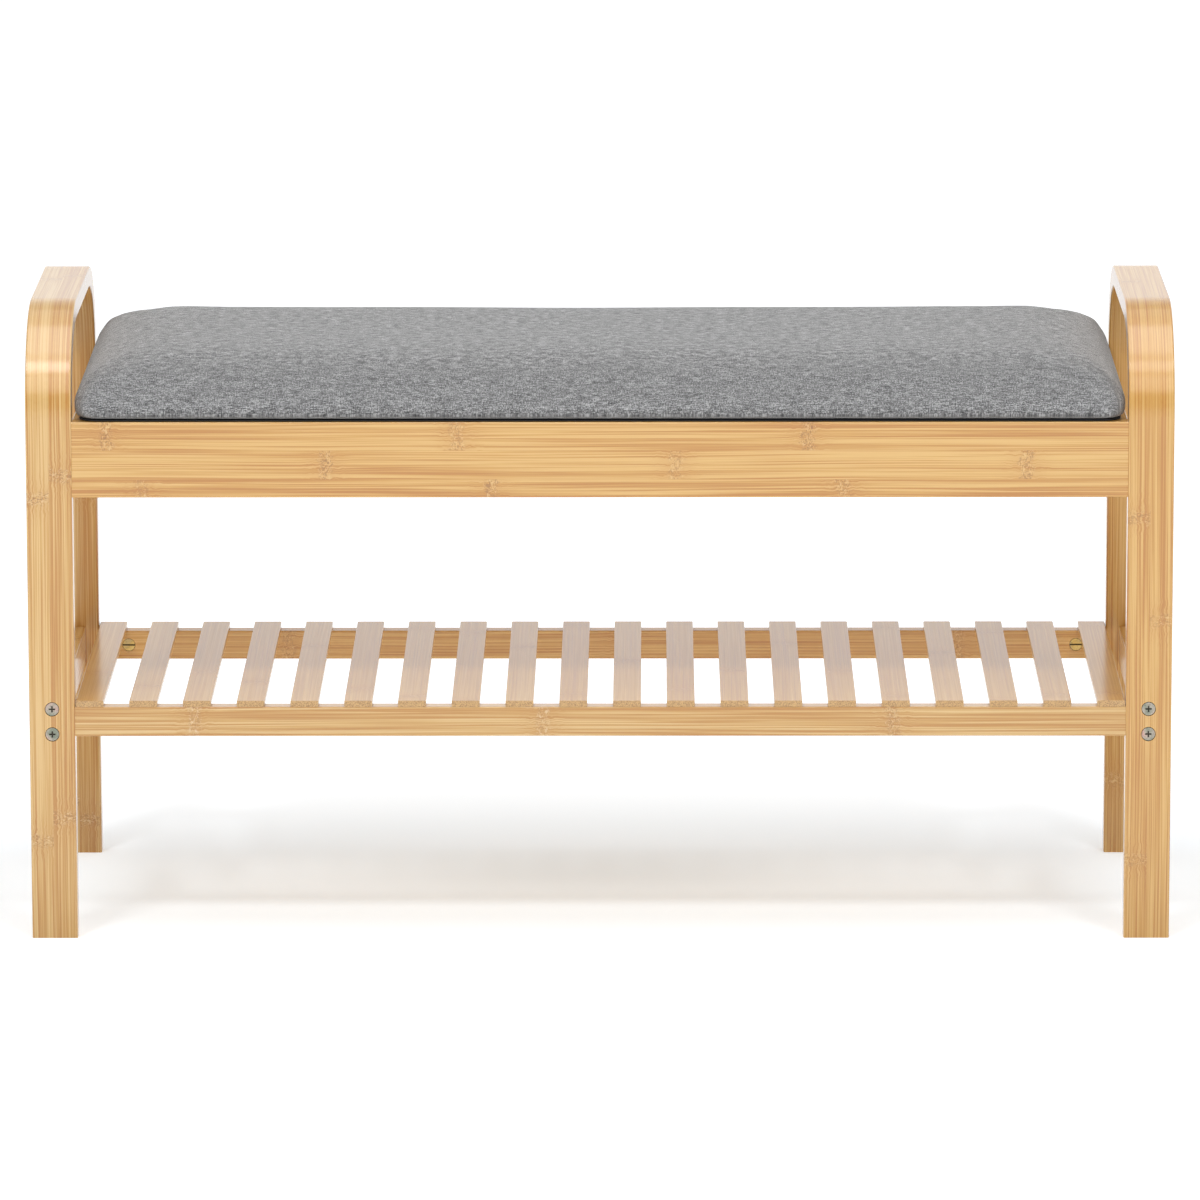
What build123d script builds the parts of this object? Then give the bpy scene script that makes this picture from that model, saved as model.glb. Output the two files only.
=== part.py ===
from build123d import *
import os

# Entryway bench: two arch frames of bent laminated bamboo carry a slatted shoe shelf and a shallow
# storage tray, and the padded seat is the tray's lid, hinged along its rear edge.
#
# Millimetres.  X runs along the bench, -Y is the front and +Z is up.  The origin is on the floor, under
# the middle of the bench.

# ---- Driving dimensions ---------------------------------------------------------------------------

LENGTH = 900.0              # over the outer faces of the two arch frames
DEPTH = 320.0               # over the front and rear legs
HEIGHT = 500.0              # floor to the top of an arch
TRAY_TOP = 414.5            # top edge of the tray's boards, which the seat closes on
RAIL_MIDDLE = 175.0         # height of the middle of the shelf's rails
SEAT_TOP = 463.0            # highest point of the padding

# Arch frames
STRIP_WIDTH = 36.0
STRIP_THICKNESS = 16.0
BEND_RADIUS = 82.0          # outside of the two bends
STRIP_EASING = 1.2

# Tray: front and rear aprons, end boards and floor
APRON_HEIGHT = 60.0
APRON_THICKNESS = 15.0
END_BOARD_THICKNESS = 14.0
TRAY_FLOOR_THICKNESS = 4.0
TRAY_FLOOR_LIP = 5.0        # wood left below the floor's groove
GROOVE_DEPTH = 5.0

# Shoe shelf
RAIL_HEIGHT = 23.5
RAIL_THICKNESS = 14.0
SIDE_RAIL_HEIGHT = 31.0
SIDE_RAIL_THICKNESS = 14.0
SLAT_COUNT = 20
SLAT_WIDTH = 22.0
SLAT_THICKNESS = 5.0
SLAT_END_GAP = 0.5          # between an end slat and the leg beside it
FACE_INSET = 1.0            # aprons and rails stand this far behind the legs' faces
BOARD_EASING = 0.8

# Seat
SEAT_END_GAP = 2.5          # between the padding and an arch frame
SEAT_FRONT = -159.6
SEAT_REAR = 152.6
SEAT_CORNER = 18.0          # corners seen from above
SEAT_TOP_ROUNDING = 30.0
SEAT_BOTTOM_ROUNDING = 6.0
COVER_THICKNESS = 1.2
COVER_RETURN = 28.0         # how far the fabric runs in under the board
COVER_WINDOW_CORNER = 5.0   # corners of the opening it leaves underneath
SEAT_BOARD_THICKNESS = 9.0
DUST_COVER_THICKNESS = 0.8
DUST_COVER_INSET = 3.0
SEAT_REST_GAP = 0.4         # below the dust cover when the seat is shut

# Hinges
HINGE_X = 250.0             # each side of the middle
HINGE_LENGTH = 40.0
HINGE_LEAF_WIDTH = 8.0
HINGE_LEAF_THICKNESS = 1.2
KNUCKLE_RADIUS = 3.0
END_KNUCKLE_LENGTH = 10.0
KNUCKLE_GAP = 0.3
HINGE_PIN_RADIUS = 1.5
HINGE_PIN_Y = 156.0
PIN_FIT = 0.02              # room round the pin in the knuckles that hold it
PIN_RUNNING = 0.06          # and in the knuckle that turns on it

# Fasteners
BOLT_SHANK = 6.0
BOLT_HEAD = 12.0
BOLT_HEAD_HEIGHT = 3.0
BOLT_LENGTH = 66.0
BOLT_HEX_WIDTH = 4.0        # driver recess, across its flats
BOLT_HEX_DEPTH = 2.0
BARREL_NUT_DIAMETER = 10.0
BARREL_NUT_LENGTH = 11.5
BARREL_NUT_SLOT = 1.3
NUT_CLEARANCE = 0.3
BARREL_NUT_X = 389.6
SCREW_SHANK = 6.0
SCREW_HEAD = 10.4
SCREW_HEAD_HEIGHT = 3.0
SCREW_LENGTH = 50.0
SCREW_CROSS_WIDTH = 5.0
SCREW_CROSS_DEPTH = 1.6
SCREW_HALF_SPACING = 10.1
APRON_BOLT_HALF_SPACING = 14.0
HEAD_CLEARANCE = 0.5
SHANK_CLEARANCE = 0.1
SHANK_END_ROOM = 1.0        # left beyond a shaft's end
SUNK = 0.3                  # heads and barrel nuts sit this far below the wood's face
DOWEL_DIAMETER = 8.0
DOWEL_LENGTH = 24.0
BRAD_DIAMETER = 1.4
BRAD_LENGTH = 11.0
BRAD_IN_SLAT = 3.5
BRAD_CLEARANCE = 0.05
LEAF_SCREW_SHANK = 2.0
LEAF_SCREW_HEAD = 4.4
LEAF_SCREW_LENGTH = 8.0
LEAF_SCREW_CROSS_WIDTH = 2.4
LEAF_SCREW_CROSS_DEPTH = 0.5
HINGE_SCREW_STEP = 12.0     # from the hinge's middle to each of its screws
STAPLE_CROWN = 10.0
STAPLE_WIRE = 0.5
STAPLE_LEG = 6.0
STAPLE_INSET = 20.0
STAPLE_SPACING = 75.0
STAPLE_CLEARANCE = 0.05
OVERCUT = 1.0               # how far a cut runs on past an open face

# ---- Places worked out from them --------------------------------------------------------------------

FRAME_X = (LENGTH - STRIP_WIDTH) / 2
INNER_X = LENGTH / 2 - STRIP_WIDTH
LEG_INNER_Y = DEPTH / 2 - STRIP_THICKNESS
FACE_Y = DEPTH / 2 - FACE_INSET
APRON_Y = FACE_Y - APRON_THICKNESS / 2
APRON_INNER_Y = FACE_Y - APRON_THICKNESS
APRON_MIDDLE = TRAY_TOP - APRON_HEIGHT / 2
APRON_BOLT_HEIGHTS = [APRON_MIDDLE - APRON_BOLT_HALF_SPACING, APRON_MIDDLE + APRON_BOLT_HALF_SPACING]
RAIL_Y = FACE_Y - RAIL_THICKNESS / 2
RAIL_TOP = RAIL_MIDDLE + RAIL_HEIGHT / 2
END_BOARD_INNER_X = INNER_X - END_BOARD_THICKNESS
FLOOR_BOTTOM = TRAY_TOP - APRON_HEIGHT + TRAY_FLOOR_LIP
DUST_COVER_BOTTOM = TRAY_TOP + SEAT_REST_GAP
COVER_BOTTOM = DUST_COVER_BOTTOM + DUST_COVER_THICKNESS
SEAT_BOARD_BOTTOM = COVER_BOTTOM + COVER_THICKNESS
SEAT_BOARD_TOP = SEAT_BOARD_BOTTOM + SEAT_BOARD_THICKNESS
SEAT_LENGTH = 2 * (INNER_X - SEAT_END_GAP)
SEAT_DEPTH = SEAT_REAR - SEAT_FRONT
SEAT_Y = (SEAT_FRONT + SEAT_REAR) / 2
HINGE_PIN_Z = (TRAY_TOP + COVER_BOTTOM) / 2
LEAF_FRONT_Y = HINGE_PIN_Y - KNUCKLE_RADIUS - HINGE_LEAF_WIDTH
SIDES = {"left": -1, "right": 1}
ENDS = {"front": -1, "rear": 1}


# ---- Shapes used more than once ---------------------------------------------------------------------

def planed_board(size_x, size_y, size_z, grain):
    """A board centred on the origin with its edges along the grain eased."""
    block = Box(size_x, size_y, size_z)
    return fillet(block.edges().filter_by(grain), BOARD_EASING)


def span(low, high):
    """The box between two opposite corners."""
    size = [high[i] - low[i] for i in range(3)]
    middle = [(high[i] + low[i]) / 2 for i in range(3)]
    return Pos(*middle) * Box(*size)


def headed_shaft(head, head_height, shank, length):
    """A round head at the origin, its top facing +Z, on a shank that reaches down to -length."""
    top = Cylinder(head / 2, head_height, align=(Align.CENTER, Align.CENTER, Align.MAX))
    shaft = Cylinder(shank / 2, length, align=(Align.CENTER, Align.CENTER, Align.MAX))
    return top + shaft


def shaft_hole(head, head_height, shank, length):
    """What a headed shaft needs cut out: the same outline with room round the head and the shank."""
    room = 2 * HEAD_CLEARANCE
    counterbore = Cylinder((head + room) / 2, 2 * (head_height + SUNK))
    shaft = headed_shaft(head, head_height, shank + 2 * SHANK_CLEARANCE, length + SHANK_END_ROOM)
    return counterbore + shaft


def cross_recess(width, depth):
    """A cross-shaped driver recess in a head whose top is at the origin."""
    arm = Box(width, width / 4, 2 * depth)
    return arm + Rot(0, 0, 90) * arm


def hex_recess(across_flats, depth):
    """A six-sided driver recess in a head whose top is at the origin."""
    return extrude(RegularPolygon(across_flats / 2, 6, major_radius=False), depth, both=True)


def place(shape, point, outward):
    """Move a shape made along +Z to a point, with +Z turned to the outward direction."""
    return Plane(origin=point, z_dir=outward).location * shape


# ---- Fasteners --------------------------------------------------------------------------------------

def bolt_points(y, z):
    """Each bolt's head centre and outward direction, for bolts that run along X into a rail's end."""
    places = []
    for side in SIDES.values():
        for end in ENDS.values():
            head = (side * (LENGTH / 2 - SUNK), end * y, z)
            places.append((head, (side, 0, 0)))
    return places


def bolts(y, heights):
    """Socket-head bolts through the legs, one at each corner for each height."""
    bolt = headed_shaft(BOLT_HEAD, BOLT_HEAD_HEIGHT, BOLT_SHANK, BOLT_LENGTH)
    bolt -= hex_recess(BOLT_HEX_WIDTH, BOLT_HEX_DEPTH)
    return [place(bolt, *spot) for z in heights for spot in bolt_points(y, z)]


def bolt_holes(y, heights):
    """The holes for the same bolts."""
    hole = shaft_hole(BOLT_HEAD, BOLT_HEAD_HEIGHT, BOLT_SHANK, BOLT_LENGTH)
    return [place(hole, *spot) for z in heights for spot in bolt_points(y, z)]


def barrel_nut_points(board_thickness, heights):
    """Centre of each barrel nut's slotted end and the way it faces, towards the bench's middle."""
    mouth_y = FACE_Y - board_thickness + SUNK
    places = []
    for z in heights:
        for side in SIDES.values():
            for end in ENDS.values():
                mouth = (side * BARREL_NUT_X, end * mouth_y, z)
                places.append((mouth, (0, -end, 0)))
    return places


def barrel_nuts(board_thickness, heights):
    """Cross dowels: a screwdriver slot in the end that shows and a bolt hole across."""
    below_mouth = (Align.CENTER, Align.CENTER, Align.MAX)
    body = Cylinder(BARREL_NUT_DIAMETER / 2, BARREL_NUT_LENGTH, align=below_mouth)
    slot = Box(BARREL_NUT_DIAMETER + OVERCUT, BARREL_NUT_SLOT, 2 * BARREL_NUT_SLOT)
    cross_hole = Rot(0, 90, 0) * Cylinder(BOLT_SHANK / 2 + SHANK_CLEARANCE, 2 * BARREL_NUT_DIAMETER)
    nut = body - slot - Pos(0, 0, SUNK - board_thickness / 2) * cross_hole
    return [Plane(origin=mouth, x_dir=(1, 0, 0), z_dir=facing).location * nut
            for mouth, facing in barrel_nut_points(board_thickness, heights)]


def barrel_nut_holes(board_thickness, heights):
    """Blind holes for the barrel nuts, from the board's inner face."""
    hole = Cylinder(BARREL_NUT_DIAMETER / 2 + NUT_CLEARANCE, 2 * (BARREL_NUT_LENGTH + NUT_CLEARANCE))
    return [place(hole, *spot) for spot in barrel_nut_points(board_thickness, heights)]


def side_rail_screw_points():
    """Head centre and outward direction of the screws through the legs into the side rails."""
    places = []
    for side in SIDES.values():
        for end in ENDS.values():
            for step in (-1, 1):
                head = (side * FRAME_X, end * (DEPTH / 2 - SUNK), RAIL_MIDDLE + step * SCREW_HALF_SPACING)
                places.append((head, (0, end, 0)))
    return places


def side_rail_screws():
    """Cross-head screws through the front and rear legs."""
    screw = headed_shaft(SCREW_HEAD, SCREW_HEAD_HEIGHT, SCREW_SHANK, SCREW_LENGTH)
    screw -= cross_recess(SCREW_CROSS_WIDTH, SCREW_CROSS_DEPTH)
    return [place(screw, *spot) for spot in side_rail_screw_points()]


def side_rail_screw_holes():
    """The holes for the same screws."""
    hole = shaft_hole(SCREW_HEAD, SCREW_HEAD_HEIGHT, SCREW_SHANK, SCREW_LENGTH)
    return [place(hole, *spot) for spot in side_rail_screw_points()]


def end_board_dowels(clearance=0.0):
    """Wooden dowels between the end boards and the aprons, or their holes when given a clearance."""
    length = DOWEL_LENGTH + 2 * clearance
    dowel = Rot(90, 0, 0) * Cylinder(DOWEL_DIAMETER / 2 + clearance, length)
    x = INNER_X - END_BOARD_THICKNESS / 2
    return [Pos(side * x, end * APRON_INNER_Y, APRON_MIDDLE) * dowel
            for side in SIDES.values() for end in ENDS.values()]


def slat_x(number):
    """Middle of a slat, counted from 0 at the left end."""
    end_slat = INNER_X - SLAT_END_GAP - SLAT_WIDTH / 2
    return -end_slat + number * 2 * end_slat / (SLAT_COUNT - 1)


def slat_brads(clearance=0.0):
    """Headless brads between slats and rails, or their holes when given a clearance."""
    brad = Cylinder(BRAD_DIAMETER / 2 + clearance, BRAD_LENGTH + 2 * clearance)
    z = RAIL_TOP + BRAD_IN_SLAT - BRAD_LENGTH / 2
    return [Pos(slat_x(number), end * RAIL_Y, z) * brad
            for number in range(SLAT_COUNT) for end in ENDS.values()]


# ---- Arch frames ------------------------------------------------------------------------------------

def round_topped(width, height, radius):
    """A rectangle that stands on the sketch's origin with its two top corners rounded."""
    outline = Rectangle(width, height, align=(Align.CENTER, Align.MIN))
    return fillet(outline.vertices().group_by(Axis.Y)[-1], radius)


def arch_frame(side):
    """One laminated strip bent into an upside-down U: a front leg, an arm and a rear leg."""
    outside = round_topped(DEPTH, HEIGHT, BEND_RADIUS)
    inside = round_topped(2 * LEG_INNER_Y, HEIGHT - STRIP_THICKNESS, BEND_RADIUS - STRIP_THICKNESS)
    strip = extrude(Plane.YZ * (outside - inside), STRIP_WIDTH / 2, both=True)
    flanks = strip.faces().filter_by(Axis.X)
    long_edges = [edge for flank in flanks for edge in flank.edges() if edge.center().Z > STRIP_EASING]
    strip = Pos(side * FRAME_X, 0, 0) * fillet(long_edges, STRIP_EASING)
    rail_bolt_holes = bolt_holes(RAIL_Y, [RAIL_MIDDLE])
    apron_bolt_holes = bolt_holes(APRON_Y, APRON_BOLT_HEIGHTS)
    return cut(strip, rail_bolt_holes + apron_bolt_holes + side_rail_screw_holes())


# ---- Storage tray -----------------------------------------------------------------------------------

def tray_floor():
    """The tray's thin floor, held in grooves on all four sides."""
    x = END_BOARD_INNER_X + GROOVE_DEPTH
    y = APRON_INNER_Y + GROOVE_DEPTH
    return span((-x, -y, FLOOR_BOTTOM), (x, y, FLOOR_BOTTOM + TRAY_FLOOR_THICKNESS))


def apron(end):
    """A long board of the tray, bolted between two legs."""
    board = planed_board(2 * INNER_X, APRON_THICKNESS, APRON_HEIGHT, Axis.X)
    board = Pos(0, end * APRON_Y, APRON_MIDDLE) * board
    holes = bolt_holes(APRON_Y, APRON_BOLT_HEIGHTS) + barrel_nut_holes(APRON_THICKNESS, APRON_BOLT_HEIGHTS)
    return cut(board, holes + end_board_dowels(SHANK_CLEARANCE) + [tray_floor()])


def rear_apron():
    """The rear apron also takes the hinges: a sinking for each leaf and a rebate for each barrel."""
    cuts = leaf_screws("frame", SHANK_CLEARANCE)
    for side in SIDES.values():
        x = side * HINGE_X
        half = HINGE_LENGTH / 2 + KNUCKLE_GAP
        cuts.append(span((x - half, LEAF_FRONT_Y, TRAY_TOP - HINGE_LEAF_THICKNESS),
                         (x + half, HINGE_PIN_Y, TRAY_TOP + OVERCUT)))
        cuts.append(span((x - half, HINGE_PIN_Y - KNUCKLE_RADIUS - KNUCKLE_GAP,
                          HINGE_PIN_Z - KNUCKLE_RADIUS - KNUCKLE_GAP),
                         (x + half, DEPTH / 2, TRAY_TOP + OVERCUT)))
    return cut(apron(ENDS["rear"]), cuts)


def end_board(side):
    """A short board that closes an end of the tray, between the two aprons."""
    board = planed_board(END_BOARD_THICKNESS, 2 * APRON_INNER_Y, APRON_HEIGHT, Axis.Y)
    board = Pos(side * (INNER_X - END_BOARD_THICKNESS / 2), 0, APRON_MIDDLE) * board
    return cut(board, end_board_dowels(SHANK_CLEARANCE) + [tray_floor()])


# ---- Shoe shelf -------------------------------------------------------------------------------------

def shelf_rail(end):
    """A long rail under the slats' ends."""
    board = planed_board(2 * INNER_X, RAIL_THICKNESS, RAIL_HEIGHT, Axis.X)
    board = Pos(0, end * RAIL_Y, RAIL_MIDDLE) * board
    holes = bolt_holes(RAIL_Y, [RAIL_MIDDLE]) + barrel_nut_holes(RAIL_THICKNESS, [RAIL_MIDDLE])
    return cut(board, holes + slat_brads(BRAD_CLEARANCE))


def side_rail(side):
    """A short rail between a front and a rear leg."""
    board = planed_board(SIDE_RAIL_THICKNESS, 2 * LEG_INNER_Y, SIDE_RAIL_HEIGHT, Axis.Y)
    board = Pos(side * FRAME_X, 0, RAIL_MIDDLE) * board
    return cut(board, side_rail_screw_holes())


def slat(number):
    """One slat across the two shelf rails."""
    board = planed_board(SLAT_WIDTH, 2 * FACE_Y, SLAT_THICKNESS, Axis.Y)
    board = Pos(slat_x(number), 0, RAIL_TOP + SLAT_THICKNESS / 2) * board
    return cut(board, slat_brads(BRAD_CLEARANCE))


# ---- Hinges -----------------------------------------------------------------------------------------

def knuckle(x_low, x_high):
    """A stretch of a hinge's barrel, before its pin hole."""
    along_x = Plane(origin=((x_low + x_high) / 2, HINGE_PIN_Y, HINGE_PIN_Z), z_dir=(1, 0, 0)).location
    return along_x * Cylinder(KNUCKLE_RADIUS, x_high - x_low)


def pin(side, radius):
    """A hinge's pin, or its hole when given a larger radius."""
    along_x = Plane(origin=(side * HINGE_X, HINGE_PIN_Y, HINGE_PIN_Z), z_dir=(1, 0, 0)).location
    return along_x * Cylinder(radius, HINGE_LENGTH)


def leaf_plate(side, bottom):
    """A hinge leaf's flat plate."""
    x = side * HINGE_X
    half = HINGE_LENGTH / 2
    return span((x - half, LEAF_FRONT_Y, bottom), (x + half, HINGE_PIN_Y, bottom + HINGE_LEAF_THICKNESS))


def knuckle_stretches(side):
    """Where the barrel's three knuckles lie along X: the outer two, then the middle one."""
    x = side * HINGE_X
    half = HINGE_LENGTH / 2
    outer = [(x - half, x - half + END_KNUCKLE_LENGTH), (x + half - END_KNUCKLE_LENGTH, x + half)]
    middle = (outer[0][1] + KNUCKLE_GAP, outer[1][0] - KNUCKLE_GAP)
    return outer, middle


def frame_leaf(side):
    """The leaf let into the rear apron's top edge, with the two outer knuckles."""
    outer, middle = knuckle_stretches(side)
    leaf = leaf_plate(side, TRAY_TOP - HINGE_LEAF_THICKNESS)
    room = KNUCKLE_RADIUS + KNUCKLE_GAP
    leaf -= span((middle[0] - KNUCKLE_GAP, HINGE_PIN_Y - room, TRAY_TOP - room),
                 (middle[1] + KNUCKLE_GAP, HINGE_PIN_Y + room, TRAY_TOP + room))
    for stretch in outer:
        leaf += knuckle(*stretch)
    return cut(leaf, [pin(side, HINGE_PIN_RADIUS + PIN_FIT)] + leaf_screws("frame", SHANK_CLEARANCE))


def lid_leaf(side):
    """The leaf under the seat board, with the middle knuckle."""
    outer, middle = knuckle_stretches(side)
    leaf = leaf_plate(side, COVER_BOTTOM)
    room = KNUCKLE_RADIUS + KNUCKLE_GAP
    for low, high in outer:
        leaf -= span((low - KNUCKLE_GAP, HINGE_PIN_Y - room, HINGE_PIN_Z - room),
                     (high + KNUCKLE_GAP, HINGE_PIN_Y + room, HINGE_PIN_Z + room))
    leaf += knuckle(*middle)
    return cut(leaf, [pin(side, HINGE_PIN_RADIUS + PIN_RUNNING)] + leaf_screws("lid", SHANK_CLEARANCE))


def leaf_screws(owner, clearance=0.0):
    """The small screws of the frame's or the lid's leaves, or their holes when given a clearance."""
    head = LEAF_SCREW_HEAD + 2 * clearance
    shank = LEAF_SCREW_SHANK + 2 * clearance
    length = LEAF_SCREW_LENGTH + clearance
    screw = headed_shaft(head, HINGE_LEAF_THICKNESS, shank, length)
    if not clearance:
        screw -= cross_recess(LEAF_SCREW_CROSS_WIDTH, LEAF_SCREW_CROSS_DEPTH)
    face_z, outward = (TRAY_TOP, 1) if owner == "frame" else (COVER_BOTTOM, -1)
    y = LEAF_FRONT_Y + HINGE_LEAF_WIDTH / 2
    return [place(screw, (side * HINGE_X + step * HINGE_SCREW_STEP, y, face_z), (0, 0, outward))
            for side in SIDES.values() for step in (-1, 1)]


# ---- Seat, which is the tray's lid ------------------------------------------------------------------

def seat_block(inset):
    """The seat's padded shape, from under its fabric to its top, drawn in by an inset."""
    corner = SEAT_CORNER - inset
    plan = RectangleRounded(SEAT_LENGTH - 2 * inset, SEAT_DEPTH - 2 * inset, corner)
    block = extrude(plan, SEAT_TOP - COVER_BOTTOM - 2 * inset)
    block = fillet(block.edges().group_by(Axis.Z)[-1], SEAT_TOP_ROUNDING - inset)
    block = fillet(block.edges().group_by(Axis.Z)[0], SEAT_BOTTOM_ROUNDING - inset)
    return Pos(0, SEAT_Y, COVER_BOTTOM + inset) * block


def seat_layer(low, high):
    """What the fabric holds between two heights."""
    x = SEAT_LENGTH / 2
    return seat_block(COVER_THICKNESS) & span((-x, SEAT_FRONT, low), (x, SEAT_REAR, high))


def leaf_notches():
    """Room for the lid's hinge leaves in the fabric and the dust cover."""
    half = HINGE_LENGTH / 2
    return [span((side * HINGE_X - half, LEAF_FRONT_Y, DUST_COVER_BOTTOM - OVERCUT),
                 (side * HINGE_X + half, SEAT_REAR + OVERCUT, SEAT_BOARD_BOTTOM))
            for side in SIDES.values()]


def cover_staples(clearance=0.0):
    """Wire staples that hold the fabric and the dust cover to the board, or their holes."""
    wire = STAPLE_WIRE + 2 * clearance
    crown = Pos(0, 0, -STAPLE_WIRE / 2) * Box(STAPLE_CROWN + 2 * clearance, wire, wire)
    leg = Box(wire, wire, STAPLE_LEG + 2 * clearance, align=(Align.CENTER, Align.CENTER, Align.MIN))
    half = (STAPLE_CROWN - STAPLE_WIRE) / 2
    staple = crown
    for end in (-half, half):
        staple += Pos(end, 0, -STAPLE_WIRE) * leg
    return [Pos(x, y, DUST_COVER_BOTTOM) * Rot(0, 0, turn) * staple for x, y, turn in staple_places()]


def staple_places():
    """Middle of each staple and its turn about Z, round the underside of the seat."""
    x_end = SEAT_LENGTH / 2 - STAPLE_INSET
    y_end = SEAT_DEPTH / 2 - STAPLE_INSET
    along = int(2 * x_end // STAPLE_SPACING)
    across = int(2 * y_end // STAPLE_SPACING)
    places = []
    for step in range(along):
        x = (step - (along - 1) / 2) * STAPLE_SPACING
        places += [(x, SEAT_Y - y_end, 0), (x, SEAT_Y + y_end, 0)]
    for step in range(across):
        y = SEAT_Y + (step - (across - 1) / 2) * STAPLE_SPACING
        places += [(-x_end, y, 90), (x_end, y, 90)]
    return places


def seat_board():
    """The plywood base that the padding sits on."""
    board = seat_layer(SEAT_BOARD_BOTTOM, SEAT_BOARD_TOP)
    return cut(board, leaf_screws("lid", SHANK_CLEARANCE) + cover_staples(STAPLE_CLEARANCE))


def seat_foam():
    """The padding itself."""
    return seat_layer(SEAT_BOARD_TOP, SEAT_TOP)


def seat_cover():
    """The fabric: a skin over the padding and round the board's edges, open underneath."""
    window_length = SEAT_LENGTH - 2 * COVER_RETURN
    window_depth = SEAT_DEPTH - 2 * COVER_RETURN
    window = RectangleRounded(window_length, window_depth, COVER_WINDOW_CORNER)
    window = Pos(0, SEAT_Y, COVER_BOTTOM) * extrude(window, COVER_THICKNESS, both=True)
    skin = seat_block(0) - seat_block(COVER_THICKNESS)
    skin = cut(skin, [window] + leaf_notches())
    return cut(skin, leaf_screws("lid", SHANK_CLEARANCE) + cover_staples(STAPLE_CLEARANCE))


def dust_cover():
    """The thin black sheet under the seat, just short of its edges."""
    inset = DUST_COVER_INSET
    plan = RectangleRounded(SEAT_LENGTH - 2 * inset, SEAT_DEPTH - 2 * inset, SEAT_CORNER - inset)
    sheet = Pos(0, SEAT_Y, DUST_COVER_BOTTOM) * extrude(plan, DUST_COVER_THICKNESS)
    return cut(sheet, leaf_notches() + cover_staples(STAPLE_CLEARANCE))


# ---- Cutting and writing ----------------------------------------------------------------------------

def touches(first, second):
    """Whether two shapes' bounding boxes meet."""
    a = first.bounding_box()
    b = second.bounding_box()
    return all(a_low <= b_high and b_low <= a_high
               for a_low, a_high, b_low, b_high in zip(a.min, a.max, b.min, b.max))


def cut(shape, tools):
    """Take away the tools that reach the shape."""
    near = [tool for tool in tools if touches(shape, tool)]
    return shape - near if near else shape


def group(pieces):
    """Separate solids that share one node, such as a set of screws."""
    return Compound(children=[piece.solid() for piece in pieces])


def sub_parts():
    """Every node's name and its shape."""
    parts = {
        "rear_apron": rear_apron(),
        "front_apron": apron(ENDS["front"]),
        "tray_floor": tray_floor(),
        "end_board_dowels": group(end_board_dowels()),
        "apron_bolts": group(bolts(APRON_Y, APRON_BOLT_HEIGHTS)),
        "apron_barrel_nuts": group(barrel_nuts(APRON_THICKNESS, APRON_BOLT_HEIGHTS)),
        "shelf_rail_bolts": group(bolts(RAIL_Y, [RAIL_MIDDLE])),
        "shelf_barrel_nuts": group(barrel_nuts(RAIL_THICKNESS, [RAIL_MIDDLE])),
        "side_rail_screws": group(side_rail_screws()),
        "slat_brads": group(slat_brads()),
        "frame_leaf_screws": group(leaf_screws("frame")),
        "lid_leaf_screws": group(leaf_screws("lid")),
        "seat_board": seat_board(),
        "seat_foam": seat_foam(),
        "seat_cover": seat_cover(),
        "dust_cover": dust_cover(),
        "cover_staples": group(cover_staples()),
    }
    for name, side in SIDES.items():
        parts[f"{name}_arch_frame"] = arch_frame(side)
        parts[f"{name}_end_board"] = end_board(side)
        parts[f"{name}_side_rail"] = side_rail(side)
        parts[f"hinge_{name}_frame_leaf"] = frame_leaf(side)
        parts[f"hinge_{name}_lid_leaf"] = lid_leaf(side)
        parts[f"hinge_{name}_pin"] = pin(side, HINGE_PIN_RADIUS)
    for name, end in ENDS.items():
        parts[f"{name}_shelf_rail"] = shelf_rail(end)
    for number in range(SLAT_COUNT):
        parts[f"slat_{number + 1:02d}"] = slat(number)
    return parts


os.makedirs("parts", exist_ok=True)
for node, shape in sub_parts().items():
    export_step(shape, f"parts/{node}.step")
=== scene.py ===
import math

import bmesh
import bpy
import numpy as np
from mathutils import Matrix, Vector


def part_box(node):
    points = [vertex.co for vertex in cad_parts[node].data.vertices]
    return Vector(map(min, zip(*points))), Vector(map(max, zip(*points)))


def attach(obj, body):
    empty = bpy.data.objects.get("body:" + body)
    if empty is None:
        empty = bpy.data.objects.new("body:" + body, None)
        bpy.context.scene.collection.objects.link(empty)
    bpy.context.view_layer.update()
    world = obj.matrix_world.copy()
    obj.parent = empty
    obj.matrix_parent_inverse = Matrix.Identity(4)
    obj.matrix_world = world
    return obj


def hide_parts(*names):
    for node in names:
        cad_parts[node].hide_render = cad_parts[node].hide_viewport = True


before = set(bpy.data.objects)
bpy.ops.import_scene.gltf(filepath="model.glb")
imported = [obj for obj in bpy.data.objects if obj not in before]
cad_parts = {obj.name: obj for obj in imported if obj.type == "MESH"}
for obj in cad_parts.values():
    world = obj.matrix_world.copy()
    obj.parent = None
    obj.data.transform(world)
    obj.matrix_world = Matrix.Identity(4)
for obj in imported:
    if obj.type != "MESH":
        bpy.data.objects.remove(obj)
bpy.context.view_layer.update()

# Looks of the entryway bench.  Everything is in metres in the frame of the CAD model: X runs along the
# bench, -Y is the front, +Z is up, and the floor is z = 0.

MM = 0.001

# ---- Places, worked out from the frame ---------------------------------------------------------------

ARCH_LOW, ARCH_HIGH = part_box("left_arch_frame")
RIGHT_ARCH_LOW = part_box("right_arch_frame")[0]
APRON_LOW, APRON_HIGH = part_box("front_apron")
RAIL_LOW, RAIL_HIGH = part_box("front_shelf_rail")
COVER_LOW, COVER_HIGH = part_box("seat_cover")
SLAT_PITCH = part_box("slat_02")[0].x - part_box("slat_01")[0].x

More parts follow.
